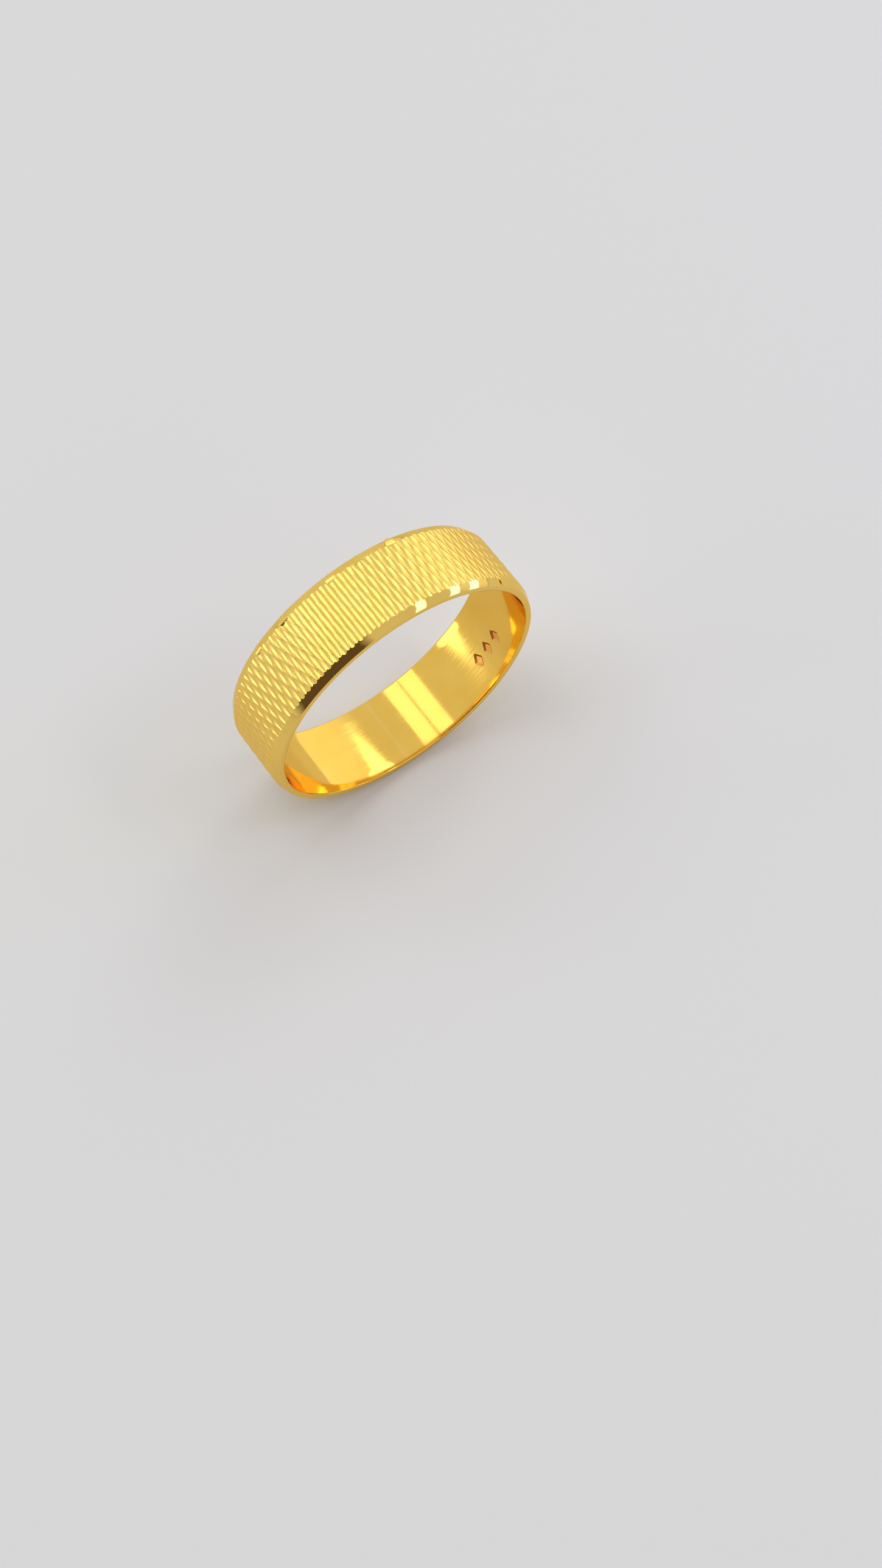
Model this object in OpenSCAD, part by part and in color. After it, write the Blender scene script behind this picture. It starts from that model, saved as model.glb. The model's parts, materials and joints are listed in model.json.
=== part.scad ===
// Wedding band with a fly-cut fluted face, polished bevelled edges and a soldered closing joint.
// The ring stands on its rim: its axis is Y, +Z is up, and the origin is the centre of the bore.
// Angles round the ring are clock angles from the top (+Z), counter-clockwise as seen from the
// front (-Y). The front edge is the one at -Y.

/* [Ring] */
// Bore diameter, the finger size (19.1 is ISO 8653 size 60)
bore_d = 19.1; // [16:0.1:22]
// Radial thickness of the strip, out to the ridges of the flutes
wall = 0.71; // [0.7:0.01:0.9]
// Width of the band along the finger
band_w = 5.5; // [4.5:0.1:8]

/* [Edges] */
// Width of each polished bevel, along the ring's axis
bevel_w = 0.63; // [0.5:0.01:0.8]
// Depth of each polished bevel, along the radius
bevel_depth = 0.28; // [0.2:0.01:0.35]
// Size of the comfort chamfer at both mouths of the bore
bore_chamfer = 0.1; // [0.05:0.01:0.15]

/* [Flutes] */
// Number of flutes round the face
flute_count = 196; // [150:2:220]
// Radius of the cutter that leaves each flute
flute_r = 0.25; // [0.25:0.01:0.4]

/* [Tabs] */
// Width of the uncut tabs that cross the bevels
tab_w = 0.78; // [0.5:0.01:1]
// Clock angles of the tabs on the front bevel
front_tab_angles = [-49]; // [-180:0.5:180]
// Clock angles of the tabs on the back bevel
back_tab_angles = [-13.5, 0, 12, 34, 49]; // [-180:0.5:180]
// Height of the tabs above the bevels
tab_lift = 0.1; // [0.05:0.01:0.2]

/* [Punch marks] */
// Clock angle of the middle of the row of punch marks in the bore
mark_angle = -122.5; // [-150:0.5:-30]
// Depth of the punch marks
mark_depth = 0.1; // [0.05:0.01:0.15]
// Height of a punch mark, along the ring's axis
mark_h = 1.2; // [0.6:0.1:1.4]
// Width of a punch mark, round the bore
mark_w = 0.8; // [0.4:0.1:1]
// Distance from one punch mark to the next, along the bore
mark_pitch = 1.2; // [1:0.05:1.4]

/* [Solder seam] */
// Width of the solder that closes the strip into a ring
seam_w = 0.3; // [0.2:0.01:0.31]

/* [Hidden] */
bore_r = bore_d / 2;
outer_r = bore_r + wall;
half_w = band_w / 2;
flute_pitch = 360 / flute_count;
// The flutes meet in ridges exactly at the outer radius.
flute_axis_r = outer_r * cos(flute_pitch / 2)
    + sqrt(pow(flute_r, 2) - pow(outer_r * sin(flute_pitch / 2), 2));
bevel_inner_r = outer_r - bevel_depth;
tab_reach = half_w - tab_w / 2;
mark_y = -0.12 * band_w;
mark_reach = 2;
tool_overlap = 1;
smooth = 96;

// Places its children at a clock angle, at y along the axis and from radius r0 outwards.
module at_radius(angle, y, r0) {
    rotate([0, -angle, 0]) translate([0, y, r0]) children();
}

// The outline of the face: a disc with a scallop for each flute.
module fluted_outline() {
    difference() {
        circle(r = outer_r, $fn = smooth);
        for (i = [0 : flute_count - 1])
            rotate(90 + i * flute_pitch) translate([flute_axis_r, 0]) circle(r = flute_r, $fn = 24);
    }
}

// The section of the strip, as radius against width, with both bevels and both bore chamfers.
// With a lift the bevels lie that much further out.
module strip_section(lift = 0) {
    width = bevel_w * (1 - lift / bevel_depth);
    polygon([
        [bore_r, bore_chamfer - half_w],
        [bore_r + bore_chamfer, -half_w],
        [bevel_inner_r + lift, -half_w],
        [outer_r, width - half_w],
        [outer_r, half_w - width],
        [bevel_inner_r + lift, half_w],
        [bore_r + bore_chamfer, half_w],
        [bore_r, half_w - bore_chamfer]
    ]);
}

// The turned blank that strip_section sweeps round the finger.
module blank(lift = 0) {
    rotate([90, 0, 0]) rotate_extrude($fn = smooth) strip_section(lift);
}

// The outline of a tab across one bevel (side -1 is the front), with a half round at the side face.
module tab(angle, side) {
    at_radius(angle, side * tab_reach, bore_r + wall / 2) {
        cylinder(d = tab_w, h = wall, $fn = 32);
        translate([-tab_w / 2, side > 0 ? -bevel_w : 0, 0]) cube([tab_w, bevel_w, wall]);
    }
}

// Three plain lozenges in a row round the bore.
module punch_marks() {
    step = mark_pitch / bore_r * 180 / PI;
    for (i = [-1 : 1])
        at_radius(mark_angle + i * step, mark_y, bore_r - mark_reach)
            linear_extrude(mark_reach + mark_depth)
                scale([mark_w / mark_h, 1]) circle(d = mark_h, $fn = 4);
}

// The whole closed ring, before it is divided into the strip and its seam.
module ring() {
    difference() {
        intersection() {
            rotate([90, 0, 0]) linear_extrude(band_w + 2 * tool_overlap, center = true) fluted_outline();
            union() {
                blank();
                intersection() {
                    blank(tab_lift);
                    union() {
                        for (angle = front_tab_angles) tab(angle, -1);
                        for (angle = back_tab_angles) tab(angle, 1);
                    }
                }
            }
        }
        punch_marks();
    }
}

// The slab of space that the solder fills, at the bottom of the ring.
module seam_slab() {
    translate([-seam_w / 2, -half_w - tool_overlap, -outer_r - tool_overlap])
        cube([seam_w, band_w + 2 * tool_overlap, outer_r]);
}

// The gold strip, bent round until its ends nearly meet.
module band() {
    color("gold") difference() {
        ring();
        seam_slab();
    }
}

// The solder between the strip's ends, dressed and cut with the rest of the ring.
module solder_seam() {
    color("khaki") intersection() {
        ring();
        seam_slab();
    }
}

band();
solder_seam();
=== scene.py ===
import json
import math

import bmesh
import bpy
import numpy as np
from mathutils import Matrix, Vector


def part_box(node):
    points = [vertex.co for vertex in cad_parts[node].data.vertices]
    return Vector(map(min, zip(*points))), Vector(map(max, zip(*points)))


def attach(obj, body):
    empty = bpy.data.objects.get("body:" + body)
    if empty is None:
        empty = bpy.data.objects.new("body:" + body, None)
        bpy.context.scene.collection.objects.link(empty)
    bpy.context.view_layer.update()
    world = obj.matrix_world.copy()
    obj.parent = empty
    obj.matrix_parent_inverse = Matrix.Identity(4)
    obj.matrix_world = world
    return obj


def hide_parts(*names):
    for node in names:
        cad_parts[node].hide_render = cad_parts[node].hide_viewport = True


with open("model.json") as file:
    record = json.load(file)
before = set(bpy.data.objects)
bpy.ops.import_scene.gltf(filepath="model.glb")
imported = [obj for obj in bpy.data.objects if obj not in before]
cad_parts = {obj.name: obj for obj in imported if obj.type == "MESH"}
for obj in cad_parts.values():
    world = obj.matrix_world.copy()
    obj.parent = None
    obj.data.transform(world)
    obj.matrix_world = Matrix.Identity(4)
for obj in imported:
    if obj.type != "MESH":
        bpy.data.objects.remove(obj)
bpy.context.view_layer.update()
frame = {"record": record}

# ---------------------------------------------------------------- sizes, in metres
MM = 0.001
mounts = {m["name"]: m for m in frame["record"]["mounts"]}
BORE_R = mounts["finger_bore"]["dims"]["r_mm"] * MM
HALF_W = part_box("band")[1].y
SEAM_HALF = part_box("solder_seam")[1].x

COLUMNS = 196
PITCH_ANGLE = 2 * math.pi / COLUMNS
OUTER_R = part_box("band")[1].x / math.cos(PITCH_ANGLE / 2)
PITCH = OUTER_R * PITCH_ANGLE
BEVEL_W = 0.63 * MM
BEVEL_DEPTH = 0.28 * MM
BEVEL_START = HALF_W - BEVEL_W
BEVEL_SLOPE = math.atan2(BEVEL_DEPTH, BEVEL_W)
# Radii of the rounding at the outer corners and at both mouths of the bore
EDGE_ROUND = 0.04 * MM
BORE_ROUND = 0.1 * MM

# The scoops that the fly cutter leaves: shallow hollows, each two rows long, in staggered rows.
ROW_STEP = 0.7955 * MM
# How far the first row's middle lies in front of the middle of the band
FIRST_ROW = BEVEL_START - 0.56 * ROW_STEP
SCOOP_R_ACROSS = 0.52 * MM
SCOOP_R_ALONG = 5.1 * MM
# 0 is a plain paraboloid; towards 1 the bottom is flatter and the sides are steeper.
FLATNESS = 0.25
ZIGZAG = SCOOP_R_ACROSS * ROW_STEP ** 2 / (2 * PITCH * SCOOP_R_ALONG)
SCOOP_DEPTH = (PITCH / 2 + ZIGZAG) ** 2 / (2 * SCOOP_R_ACROSS)
# Close to the bevels the middle of each scoop rolls over, which leaves a row of rounded teeth.
ROLL_WIDTH = 0.16 * MM
ROLL_DEPTH = 0.016 * MM

# Uncut tabs across the bevels: clock angle in degrees, side (-1 is the front) and height in
# millimetres above the bevel
TABS = [(-49, -1, 0.1), (-13.5, 1, 0.15), (0, 1, 0.1), (12, 1, 0.09), (34, 1, 0.08), (49, 1, 0.08)]
TAB_W = 0.74 * MM
TAB_ROOT = BEVEL_START - 0.1 * MM
TAB_TIP = HALF_W - 0.03 * MM
# Rounding of a tab's top edges, depth of its base below the bevel, and the part of its width that
# it loses from root to tip
TAB_ROUND = 0.03 * MM
TAB_SINK = 0.15 * MM
TAB_TAPER = 0.15
# A tab climbs out of the scooped face over this length, from this far below its own height.
TAB_RISE = 0.24 * MM
TAB_DIP = 0.07 * MM
# A gap or skin too thin to see, which keeps surfaces from coinciding
SKIN = 0.01 * MM

# Three lozenge punch marks in the bore
MARK_ANGLE = math.radians(-122.5)
MARK_STEP = 1.2 * MM / BORE_R
MARK_Y = -0.66 * MM
MARK_H = 1.2 * MM
MARK_W = 0.8 * MM
MARK_DEPTH = 0.1 * MM
# Size of a mark's floor as a part of its mouth
MARK_FLOOR = 0.6
# How far the punch reaches into the open bore, so that it cuts clean through the surface
PUNCH_REACH = 0.4 * MM

# Mesh steps
ACROSS_SCOOP = 8
ROWS_PER_STEP = 6
EDGE_STEPS = 3
BORE_STEPS = 392
BORE_ROWS = 7
BORE_CORNER_STEPS = 6
# Steps across a tab and along it
TAB_GRID = (18, 20)
# Halvings of the interval in the search for the face's edge
HALVINGS = 30
# A row of the face lies at least this part of a step inside the start of the bevels.
ROW_MARGIN = 0.2

# Points closer together than this are one where the seam is cut.
SAME_POINT = 1e-9

# Finishes, in the order of each piece's materials
FLY_CUT, POLISHED, IN_BORE, PUNCHED = range(4)
# How closely a face lies to the bevel's cone, or to a rounded corner in parts of its radius, to
# take its finish
ON_BEVEL = 0.004 * MM
ON_CORNER = 1.01
ON_MOUTH = 1.3
# A face of the bore leans outwards by less than this, as a cosine.
LEAN_OF_BORE = 0.5
SHARP_ANGLE = math.radians(15)


# ---------------------------------------------------------------- shape of the ring's surface
def own_row_offset(column, y):
    """Signed distance along the axis from the middle of the scoop that covers y in this column."""
    middle = -FIRST_ROW + (column % 2) * ROW_STEP
    return (y - middle + ROW_STEP) % (2 * ROW_STEP) - ROW_STEP


def scoop_point(column, u, y):
    """Clock angle and radius of the face at y, for u from -1 to 1 across the column's scoop."""
    along = own_row_offset(column, y)
    half_width = PITCH / 2 + ZIGZAG * (1 - 2 * np.abs(along) / ROW_STEP)
    x = u * half_width
    roll = np.clip((np.abs(y) - BEVEL_START) / ROLL_WIDTH + 0.5, 0, 1) ** 2 * (1 - u ** 2)
    rise = x ** 2 / (2 * SCOOP_R_ACROSS) + along ** 2 / (2 * SCOOP_R_ALONG)
    depth = SCOOP_DEPTH - rise * (1 - FLATNESS + FLATNESS * rise / SCOOP_DEPTH) + ROLL_DEPTH * roll
    return column * PITCH_ANGLE + x / OUTER_R, OUTER_R - depth


def cone_radius(y):
    """Radius of the bevel at y."""
    return OUTER_R - BEVEL_DEPTH * (np.abs(y) - BEVEL_START) / BEVEL_W


def edge_of_face(column, u, side):
    """y where the bevel cuts the scooped face, found by halving the interval."""
    low, high = np.full(u.shape, BEVEL_START), np.full(u.shape, HALF_W)
    for _ in range(HALVINGS):
        mid = (low + high) / 2
        inside = scoop_point(column, u, side * mid)[1] < cone_radius(mid)
        low, high = np.where(inside, mid, low), np.where(inside, high, mid)
    return side * (low + high) / 2


def to_xyz(angle, radius, y):
    """Points at clock angles from +Z towards -X, at radii from the Y axis."""
    angle, radius, y = np.broadcast_arrays(angle, radius, y)
    return np.stack([-np.sin(angle) * radius, y, np.cos(angle) * radius], -1)


def even_steps(steps, start, end):
    """Numbers from start to end, both included."""
    return [start + (end - start) * i / steps for i in range(steps + 1)]


def bevel_loops(column, u, side):
    """Loops from the face's edge across the bevel and round the outer corner to the side face."""
    y = edge_of_face(column, u, side)
    angle, _ = scoop_point(column, u, y)
    setback = EDGE_ROUND * math.tan((math.pi / 2 - BEVEL_SLOPE) / 2)
    last = side * (HALF_W - setback * math.cos(BEVEL_SLOPE))
    loops = [to_xyz(angle, cone_radius(row), row) for row in (y, y + (last - y) * 0.5)]
    centre_r, centre_y = OUTER_R - BEVEL_DEPTH - setback, side * (HALF_W - EDGE_ROUND)
    for a in even_steps(EDGE_STEPS, math.pi / 2 - BEVEL_SLOPE, 0):
        loops.append(to_xyz(angle, centre_r + EDGE_ROUND * math.sin(a),
                            centre_y + side * EDGE_ROUND * math.cos(a)))
    return loops


def bore_loops():
    """Loops from the front side face through the bore to the back side face."""
    angle = np.arange(BORE_STEPS) * 2 * math.pi / BORE_STEPS
    centre_r, centre_y = BORE_R + BORE_ROUND, HALF_W - BORE_ROUND
    corner = [(centre_r - BORE_ROUND * math.sin(a), -centre_y - BORE_ROUND * math.cos(a))
              for a in even_steps(BORE_CORNER_STEPS, 0, math.pi / 2)]
    straight = [(BORE_R, y) for y in np.linspace(-centre_y, centre_y, BORE_ROWS + 2)[1:-1]]
    other_corner = [(r, -y) for r, y in reversed(corner)]
    return [to_xyz(angle, r, y) for r, y in corner + straight + other_corner]


def face_rows():
    """y of the rows across the face: every turn of the zigzag ridges lies on one."""
    step = ROW_STEP / ROWS_PER_STEP
    low = math.ceil((FIRST_ROW - BEVEL_START) / step + ROW_MARGIN)
    high = math.floor((FIRST_ROW + BEVEL_START) / step - ROW_MARGIN)
    return [i * step - FIRST_ROW for i in range(low, high + 1)]


# ---------------------------------------------------------------- mesh of the ring
def skin_loops(bm, loops, flip=False):
    """Quads between each two neighbouring closed loops of vertices."""
    for near, far in zip(loops, loops[1:]):
        for i in range(len(near)):
            quad = (near[i - 1], near[i], far[i], far[i - 1])
            bm.faces.new(quad[::-1] if flip else quad)


def close_side(bm, big, small, flip):
    """The flat side face, from the outer loop to the bore's, which has fewer vertices."""
    ratio = len(big) // len(small)
    shift = min(range(len(big)), key=lambda i: (big[i].co - small[0].co).length)
    for i in range(len(small)):
        here, following = small[i], small[(i + 1) % len(small)]
        fan = [big[(shift + i * ratio + k) % len(big)] for k in range(ratio + 1)]
        tris = [(fan[k], fan[k + 1], here) for k in range(ratio // 2)]
        tris += [(fan[k], fan[k + 1], following) for k in range(ratio // 2, ratio)]
        tris.append((fan[ratio // 2], following, here))
        for tri in tris:
            bm.faces.new(tri[::-1] if flip else tri)


def ring_mesh():
    """The whole closed ring as one bmesh."""
    column = np.repeat(np.arange(COLUMNS), ACROSS_SCOOP)
    u = np.tile(np.arange(ACROSS_SCOOP) * 2 / ACROSS_SCOOP - 1, COLUMNS)
    face = [to_xyz(*scoop_point(column, u, y), y) for y in face_rows()]
    outer = bevel_loops(column, u, -1)[::-1] + face + bevel_loops(column, u, 1)
    bm = bmesh.new()
    outer = [[bm.verts.new(p) for p in loop] for loop in outer]
    inner = [[bm.verts.new(p) for p in loop] for loop in bore_loops()]
    skin_loops(bm, outer)
    skin_loops(bm, inner, flip=True)
    close_side(bm, outer[0], inner[0], True)
    close_side(bm, outer[-1], inner[-1], False)
    bmesh.ops.recalc_face_normals(bm, faces=bm.faces)
    return bm


def new_object(name, bm):
    """An object in the scene with the bmesh as its mesh. The bmesh is freed."""
    mesh = bpy.data.meshes.new(name)
    bm.to_mesh(mesh)
    bm.free()
    piece = bpy.data.objects.new(name, mesh)
    bpy.context.scene.collection.objects.link(piece)
    return piece


# ---------------------------------------------------------------- tabs and punch marks
def tab_section(y, lift):
    """Half the width of a tab, and the radius of its top, at y on the back bevel."""
    into_round = max(0.0, y - (TAB_TIP - TAB_W / 2)) / (TAB_W / 2)
    taper = 1 - TAB_TAPER * (y - TAB_ROOT) / (TAB_TIP - TAB_ROOT)
    half = TAB_W / 2 * taper * math.sqrt(max(0.0, 1 - into_round ** 2)) + SKIN / 2
    still_to_rise = max(0.0, 1 - (y - TAB_ROOT) / TAB_RISE) ** 2
    level = min(OUTER_R - SKIN, cone_radius(y) + lift) - TAB_DIP * still_to_rise
    return half, level


def tab_solid(bm, angle, side, lift):
    """An uncut tab across a bevel. It rises out of the face's edge, follows the bevel at lift above
    it, and ends in a half round at the side face."""
    across, along = TAB_GRID
    top, base = [], []
    for i in range(along + 1):
        y = TAB_ROOT + (TAB_TIP - TAB_ROOT) * math.sin(math.pi / 2 * i / along)
        half, level = tab_section(y, lift)
        bottom = min(level, cone_radius(y)) - TAB_SINK
        row_top, row_base = [], []
        for k in range(across + 1):
            x = half * math.sin(math.pi / 2 * (2 * k / across - 1))
            gap = min(half - abs(x), max(0.0, TAB_TIP - y))
            drop = TAB_ROUND - math.sqrt(TAB_ROUND ** 2 - (TAB_ROUND - min(gap, TAB_ROUND)) ** 2)
            row_top.append(bm.verts.new(to_xyz(angle + x / OUTER_R, level - drop, side * y)))
            row_base.append(bm.verts.new(to_xyz(angle + x / OUTER_R, bottom, side * y)))
        top.append(row_top)
        base.append(row_base)
    skin_slab(bm, top, base)


def skin_slab(bm, top, base):
    """Faces over two grids of vertices, and round the border between them."""
    along, across = len(top) - 1, len(top[0]) - 1
    for grid, flip in ((top, False), (base, True)):
        for i in range(along):
            for k in range(across):
                quad = (grid[i][k], grid[i][k + 1], grid[i + 1][k + 1], grid[i + 1][k])
                bm.faces.new(quad[::-1] if flip else quad)
    border = [(0, k) for k in range(across)] + [(i, across) for i in range(along)]
    border += [(along, k) for k in range(across, 0, -1)] + [(i, 0) for i in range(along, 0, -1)]
    for (i, k), (j, m) in zip(border, border[1:] + border[:1]):
        bm.faces.new((top[i][k], base[i][k], base[j][m], top[j][m]))


def lozenge(half_x, half_y, power=1.15, steps=48):
    """A superellipse outline: a lozenge with slightly swollen sides and soft corners."""
    points = []
    for i in range(steps):
        a = 2 * math.pi * i / steps
        c, s = math.cos(a), math.sin(a)
        points.append((half_x * math.copysign(abs(c) ** (2 / power), c),
                       half_y * math.copysign(abs(s) ** (2 / power), s)))
    return points


def punch_solid(bm, angle):
    """The punch for one mark: a lozenge with soft corners and drafted walls."""
    loops = []
    levels = ((BORE_R - PUNCH_REACH, 1), (BORE_R + SKIN, 1), (BORE_R + MARK_DEPTH, MARK_FLOOR))
    for radius, scale in levels:
        loops.append([bm.verts.new(to_xyz(angle + x * scale / BORE_R, radius, MARK_Y + y * scale))
                      for x, y in lozenge(MARK_W / 2, MARK_H / 2)])
    skin_loops(bm, loops)
    bm.faces.new(loops[0])
    bm.faces.new(loops[-1])


def joined_tool(name, add_one, settings):
    """One closed-mesh tool object with a separate solid for each setting."""
    bm = bmesh.new()
    for setting in settings:
        add_one(bm, *setting)
    bmesh.ops.recalc_face_normals(bm, faces=bm.faces)
    return new_object(name, bm)


def apply_boolean(target, tool, operation):
    """Carves or joins tool into target, and removes tool."""
    modifier = target.modifiers.new(operation, "BOOLEAN")
    modifier.object = tool
    modifier.operation = operation
    modifier.solver = "EXACT"
    bpy.context.view_layer.objects.active = target
    bpy.ops.object.modifier_apply(modifier=modifier.name)
    bpy.data.objects.remove(tool)


def make_whole_ring():
    """The ring with its tabs and punch marks, before it is divided into the strip and its seam."""
    ring = new_object("whole_ring", ring_mesh())
    tabs = [(math.radians(degrees), side, lift * MM) for degrees, side, lift in TABS]
    apply_boolean(ring, joined_tool("tabs", tab_solid, tabs), "UNION")
    marks = [(MARK_ANGLE + i * MARK_STEP,) for i in (-1, 0, 1)]
    apply_boolean(ring, joined_tool("marks", punch_solid, marks), "DIFFERENCE")
    return ring


# ---------------------------------------------------------------- the two pieces
def keep_side_of_seam(source, name, keep_seam):
    """A closed copy of the ring with only the seam, or with everything but the seam."""
    bm = bmesh.new()
    bm.from_mesh(source.data)
    for x in (-SEAM_HALF, SEAM_HALF):
        near = [f for f in bm.faces if f.calc_center_median().z < 0 and
                min(v.co.x for v in f.verts) < x < max(v.co.x for v in f.verts)]
        region = near + list({e for f in near for e in f.edges}) + list({v for f in near for v in f.verts})
        bmesh.ops.bisect_plane(bm, geom=region, plane_co=(x, 0, 0), plane_no=(1, 0, 0), dist=SAME_POINT)
    unwanted = [f for f in bm.faces
                if (abs(f.calc_center_median().x) < SEAM_HALF and f.calc_center_median().z < 0) != keep_seam]
    bmesh.ops.delete(bm, geom=unwanted, context="FACES")
    bmesh.ops.holes_fill(bm, edges=[e for e in bm.edges if e.is_boundary], sides=0)
    bmesh.ops.recalc_face_normals(bm, faces=bm.faces)
    return new_object(name, bm)


def finish_of_faces(piece):
    """The finish of each polygon, told from where it lies and which way it faces."""
    count = len(piece.data.polygons)
    centre, normal = np.empty(count * 3), np.empty(count * 3)
    piece.data.polygons.foreach_get("center", centre)
    piece.data.polygons.foreach_get("normal", normal)
    centre, normal = centre.reshape(-1, 3), normal.reshape(-1, 3)
    from_middle = np.abs(centre[:, 1])
    radius = np.hypot(centre[:, 0], centre[:, 2])
    outward = (normal[:, 0] * centre[:, 0] + normal[:, 2] * centre[:, 2]) / radius
    on_cone = (from_middle > BEVEL_START) & (np.abs(radius - cone_radius(centre[:, 1])) < ON_BEVEL)
    on_side = from_middle > HALF_W - EDGE_ROUND * ON_CORNER
    in_bore = (radius < BORE_R + BORE_ROUND * ON_MOUTH) & (outward < LEAN_OF_BORE)
    below_surface = (from_middle < HALF_W - 2 * BORE_ROUND) & (radius > BORE_R + SKIN / 2)
    finish = np.full(count, FLY_CUT, dtype=np.int32)
    finish[on_cone | on_side] = POLISHED
    finish[in_bore] = IN_BORE
    finish[in_bore & below_surface] = PUNCHED
    return finish


whole = make_whole_ring()
band = keep_side_of_seam(whole, "band_gold", False)
seam = keep_side_of_seam(whole, "solder_line", True)
bpy.data.objects.remove(whole)
for piece, node, slot in ((band, "band", "gold"), (seam, "solder_seam", "gold_solder")):
    piece.data.shade_smooth()
    piece.data.set_sharp_from_angle(angle=SHARP_ANGLE)
    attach(piece, "root")
    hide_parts(node)


# ---------------------------------------------------------------- materials
# Colours drift between the two of each pair.
YELLOW = ((0.96, 0.67, 0.165), (0.93, 0.62, 0.14))
DEEP_YELLOW = ((0.95, 0.61, 0.12), (0.92, 0.56, 0.095))
PALE = ((0.95, 0.69, 0.22), (0.92, 0.64, 0.19))
DEEP_PALE = ((0.95, 0.63, 0.15), (0.92, 0.58, 0.12))
REDDISH = ((0.88, 0.46, 0.12), (0.8, 0.38, 0.09))
GLANCING_TINT = (1, 0.87, 0.62, 1)

# Stretches that draw noise out into streaks along the finger, or round the ring
ALONG_AXIS = (1, 0.06, 1)
ROUND_RING = (0.05, 1, 0.05)
EVEN = (1, 1, 1)

# Scales of noise per metre: drifting colour, wavy turning marks, and three sizes of tool marks
CLOUDS, WAVES = 350, 900
FINE, FINER, FINEST = 9000, 12000, 24000
# Noise between these values runs over the whole of a colour pair, or of a range of roughness.
CLOUD_RANGE = (0.3, 0.7)
FINE_RANGE = (0.35, 0.7)


def link_noise(nodes, links, place, stretch, scale, detail):
    """Noise in the piece's own metres, with the axes stretched apart to draw it into streaks."""
    mapping = nodes.new("ShaderNodeMapping")
    mapping.inputs["Scale"].default_value = stretch
    links.new(place, mapping.inputs["Vector"])
    noise = nodes.new("ShaderNodeTexNoise")
    noise.inputs["Scale"].default_value = scale
    noise.inputs["Detail"].default_value = detail
    links.new(mapping.outputs["Vector"], noise.inputs["Vector"])
    return noise.outputs["Fac"]


def link_range(nodes, links, value, low, high, to_low, to_high):
    """The value, with low to high stretched over to_low to to_high and held at both ends."""
    ranged = nodes.new("ShaderNodeMapRange")
    for name, number in (("From Min", low), ("From Max", high), ("To Min", to_low), ("To Max", to_high)):
        ranged.inputs[name].default_value = number
    links.new(value, ranged.inputs["Value"])
    return ranged.outputs["Result"]


def gold(name, colours, roughness, streaks, bumps):
    """Gold whose colour and roughness drift, with fine tool marks.

    colours: two RGB colours; roughness: low and high; streaks: stretch of the fine marks;
    bumps: (stretch, scale, height in metres) of each layer of relief.
    """
    material = bpy.data.materials.new(name)
    material.use_nodes = True
    nodes, links = material.node_tree.nodes, material.node_tree.links
    shader = nodes["Principled BSDF"]
    shader.inputs["Metallic"].default_value = 1
    shader.inputs["Specular Tint"].default_value = GLANCING_TINT
    place = nodes.new("ShaderNodeTexCoord").outputs["Object"]
    cloud = link_noise(nodes, links, place, EVEN, CLOUDS, 3)
    mix = nodes.new("ShaderNodeMix")
    mix.data_type = "RGBA"
    mix.inputs["A"].default_value = (*colours[0], 1)
    mix.inputs["B"].default_value = (*colours[1], 1)
    links.new(link_range(nodes, links, cloud, *CLOUD_RANGE, 0, 1), mix.inputs["Factor"])
    links.new(mix.outputs["Result"], shader.inputs["Base Color"])
    fine = link_noise(nodes, links, place, streaks, FINE, 2)
    links.new(link_range(nodes, links, fine, *FINE_RANGE, *roughness), shader.inputs["Roughness"])
    normal = None
    for stretch, scale, height in bumps:
        bump = nodes.new("ShaderNodeBump")
        bump.inputs["Strength"].default_value = 1
        bump.inputs["Distance"].default_value = height
        links.new(link_noise(nodes, links, place, stretch, scale, 2), bump.inputs["Height"])
        if normal:
            links.new(normal, bump.inputs["Normal"])
        normal = bump.outputs["Normal"]
    links.new(normal, shader.inputs["Normal"])
    return material


def fly_cut_gold(slot, colours):
    return gold(slot + "_fly_cut", colours, (0.18, 0.24), ALONG_AXIS,
                [(ALONG_AXIS, FINEST, 1.2e-6), (EVEN, FINE, 1.5e-6)])


def polished_gold(slot, colours):
    return gold(slot + "_polished", colours, (0.03, 0.06), ROUND_RING, [(ROUND_RING, FINER, 1.5e-7)])


def bore_gold(slot, colours):
    return gold(slot + "_bore", colours, (0.06, 0.13), ROUND_RING,
                [(ALONG_AXIS, WAVES, 5e-6), (ROUND_RING, FINE, 3e-7)])


def punched_gold(slot, colours):
    return gold(slot + "_punched", colours, (0.25, 0.4), EVEN, [(EVEN, FINE, 4e-6)])


for piece, slot, colours, inside in ((band, "gold", YELLOW, DEEP_YELLOW),
                                     (seam, "gold_solder", PALE, DEEP_PALE)):
    piece.data.materials.append(fly_cut_gold(slot, colours))
    piece.data.materials.append(polished_gold(slot, colours))
    piece.data.materials.append(bore_gold(slot, inside))
    if piece is band:
        piece.data.materials.append(punched_gold(slot, REDDISH))
    piece.data.polygons.foreach_set("material_index", finish_of_faces(piece))


# ---------------------------------------------------------------- camera and floor
CAMERA_AZIMUTH = math.radians(-35.4)
CAMERA_ELEVATION = math.radians(64.8)
# Steps from the ring's centre to the camera, in outer radii
CAMERA_BACK = 13.486
CAMERA_RIGHT = 0.3668
CAMERA_DOWN = 0.7588
LENS_MM = 48.4
NEAREST_SEEN = 0.005
FLOOR_SIZE = 1.2
FLOOR_COLOUR = (0.84, 0.835, 0.825, 1)


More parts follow.
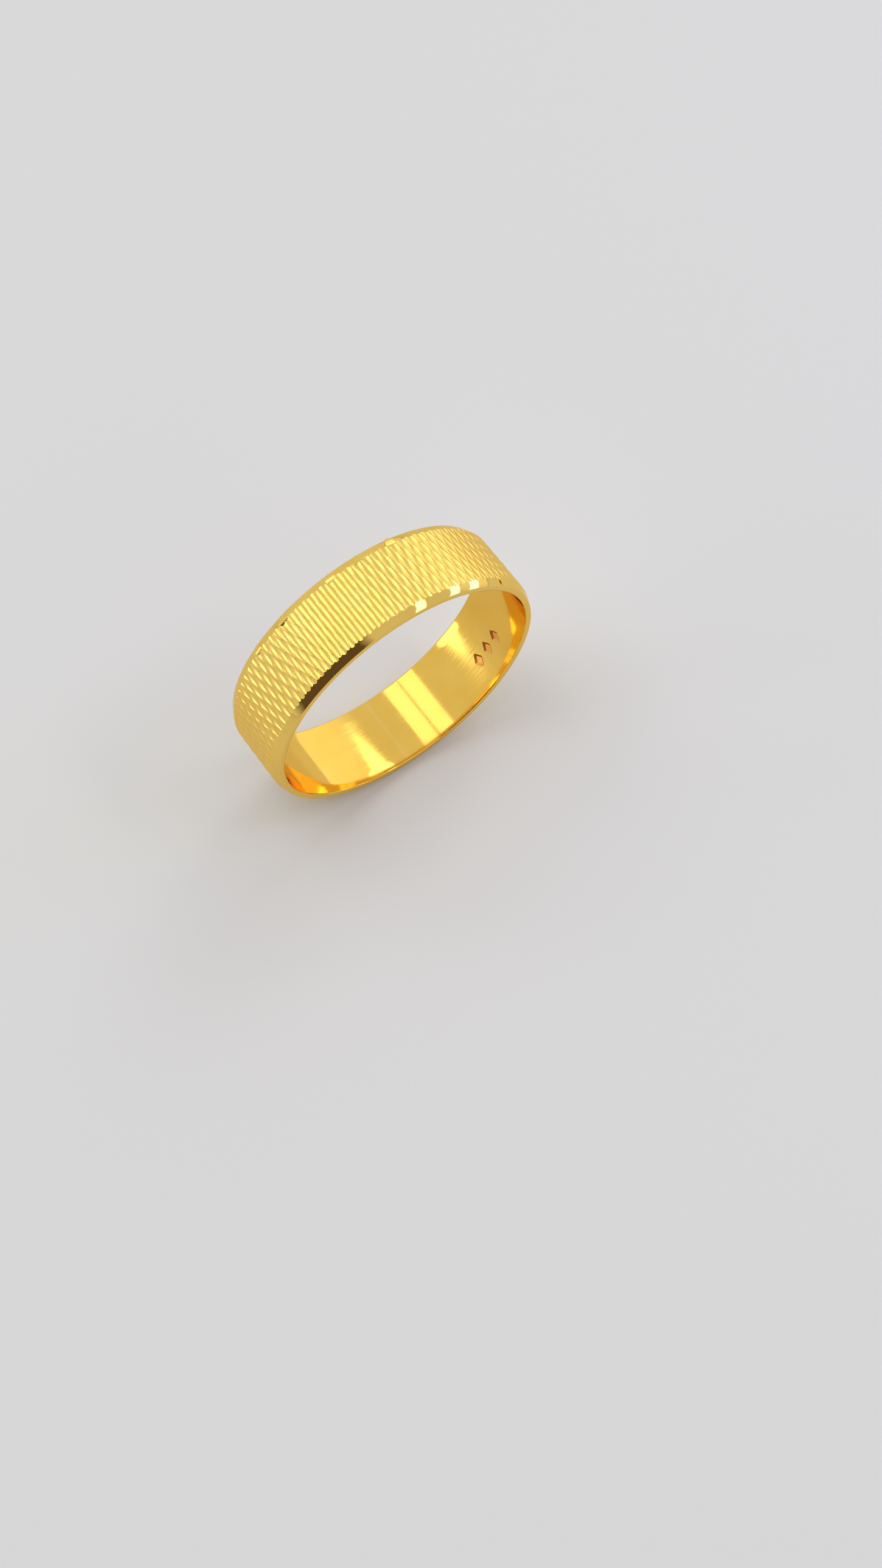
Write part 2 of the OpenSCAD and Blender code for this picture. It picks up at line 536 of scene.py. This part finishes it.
def make_camera():
    """The photo's view: the ring's centre lies left of and above the middle of the picture."""
    level = math.cos(CAMERA_ELEVATION)
    back = Vector((math.sin(CAMERA_AZIMUTH) * level, -math.cos(CAMERA_AZIMUTH) * level,
                   math.sin(CAMERA_ELEVATION)))
    right = Vector((math.cos(CAMERA_AZIMUTH), math.sin(CAMERA_AZIMUTH), 0))
    up = back.cross(right)
    place = OUTER_R * (CAMERA_BACK * back + CAMERA_RIGHT * right - CAMERA_DOWN * up)
    camera = bpy.data.objects.new("camera", bpy.data.cameras.new("camera"))
    camera.data.lens = LENS_MM
    camera.data.clip_start = NEAREST_SEEN
    camera.matrix_world = Matrix.Translation(place) @ Matrix((right, up, back)).transposed().to_4x4()
    bpy.context.scene.collection.objects.link(camera)
    bpy.context.scene.camera = camera


def make_floor():
    """A plain pale floor, which the ring stands on."""
    bpy.ops.mesh.primitive_plane_add(size=FLOOR_SIZE, location=(0, 0, -OUTER_R))
    floor = bpy.context.object
    floor.name = "floor"
    material = bpy.data.materials.new("floor")
    material.use_nodes = True
    shader = material.node_tree.nodes["Principled BSDF"]
    shader.inputs["Base Color"].default_value = FLOOR_COLOUR
    shader.inputs["Roughness"].default_value = 0.8
    floor.data.materials.append(material)


# ---------------------------------------------------------------- light
LAMP_DISTANCE = 0.35
WHITE = (1, 1, 1)
COOL = (0.19, 0.27, 1)

# The room's strength at the front and at the back, and the y of the way looked in between which
# it changes
ROOM_STRENGTH = (0.68, 0.76)
ROOM_CHANGE = (-0.3, 0.2)
# Each of these lies in a direction, and fades in between two degrees of closeness to it.
CARD_WAY, CARD_FADE = (-0.70, -0.46, 0.55), (0.79, 0.88)
CARD_COLOUR = (0.16, 0.115, 0.10)
WINDOW_WAY, WINDOW_FADE = (0.9, 0.35, 0.25), (0.75, 0.97)
WINDOW_STRENGTH = 0.42


def soft_box(name, turn, toward_back, spread, radiance, shape="RECTANGLE", colour=WHITE):
    """A flat lamp that faces the ring.

    turn: degrees from the zenith towards +X; toward_back: y of the direction; spread: the lamp's
    size in degrees, as the ring sees it, along the turn and across it.
    """
    turn = math.radians(turn)
    across = Vector((math.cos(turn), 0, -math.sin(turn)))
    rise = math.sqrt(1 - toward_back ** 2)
    way = Vector((math.sin(turn) * rise, toward_back, math.cos(turn) * rise))
    lamp = bpy.data.lights.new(name, "AREA")
    lamp.shape = shape
    lamp.size = 2 * LAMP_DISTANCE * math.tan(math.radians(spread[0]) / 2)
    lamp.size_y = 2 * LAMP_DISTANCE * math.tan(math.radians(spread[1]) / 2)
    lamp.energy = radiance * math.pi * lamp.size * lamp.size_y
    lamp.color = colour
    holder = bpy.data.objects.new(name, lamp)
    holder.matrix_world = (Matrix.Translation(way * LAMP_DISTANCE)
                           @ Matrix((across, way.cross(across), way)).transposed().to_4x4())
    bpy.context.scene.collection.objects.link(holder)


def make_lamps():
    """All lamps; what each group is for stands before it."""
    # Two long panels overhead draw the stripes on the face and the bright bands in the bore.
    soft_box("overhead_right", turn=-9, toward_back=0.35, spread=(12.5, 50), radiance=0.94)
    soft_box("overhead_left", turn=-25, toward_back=0.35, spread=(13.5, 50), radiance=0.94)
    # A round lamp on either side draws the ovals at both ends of the face.
    soft_box("key", turn=40, toward_back=0.28, spread=(24, 14), radiance=1.35, shape="ELLIPSE")
    soft_box("left_low", turn=-77, toward_back=0.49, spread=(24, 12), radiance=1.35, shape="ELLIPSE")
    # Small lamps in front draw the white patches on the front bevel.
    soft_box("side_low", turn=78, toward_back=-0.25, spread=(8, 16), radiance=3.1, colour=COOL)
    soft_box("side_high", turn=61, toward_back=-0.31, spread=(8, 16), radiance=3.1, colour=COOL)
    soft_box("front_high", turn=32, toward_back=-0.40, spread=(7.5, 16), radiance=3.5)


def link_toward(nodes, links, way, direction):
    """How closely the way looked in lies to a direction: 1 along it, -1 against it."""
    toward = nodes.new("ShaderNodeVectorMath")
    toward.operation = "DOT_PRODUCT"
    links.new(way, toward.inputs[0])
    toward.inputs[1].default_value = direction
    return toward.outputs["Value"]


def make_world():
    """A pale room, brighter to the back, with a soft window on the right and a dark card front left."""
    world = bpy.data.worlds.new("studio")
    world.use_nodes = True
    nodes, links = world.node_tree.nodes, world.node_tree.links
    background = nodes["Background"]
    way = nodes.new("ShaderNodeTexCoord").outputs["Generated"]
    card = link_toward(nodes, links, way, CARD_WAY)
    mix = nodes.new("ShaderNodeMix")
    mix.data_type = "RGBA"
    mix.inputs["A"].default_value = (*WHITE, 1)
    mix.inputs["B"].default_value = (*CARD_COLOUR, 1)
    links.new(link_range(nodes, links, card, *CARD_FADE, 0, 1), mix.inputs["Factor"])
    links.new(mix.outputs["Result"], background.inputs["Color"])
    split = nodes.new("ShaderNodeSeparateXYZ")
    links.new(way, split.inputs[0])
    room = link_range(nodes, links, split.outputs["Y"], *ROOM_CHANGE, *ROOM_STRENGTH)
    window = link_toward(nodes, links, way, WINDOW_WAY)
    glow = link_range(nodes, links, window, *WINDOW_FADE, 0, WINDOW_STRENGTH)
    both = nodes.new("ShaderNodeMath")
    both.operation = "ADD"
    links.new(room, both.inputs[0])
    links.new(glow, both.inputs[1])
    links.new(both.outputs[0], background.inputs["Strength"])
    bpy.context.scene.world = world


make_camera()
make_floor()
make_world()
make_lamps()
bpy.context.scene.view_settings.view_transform = "Standard"
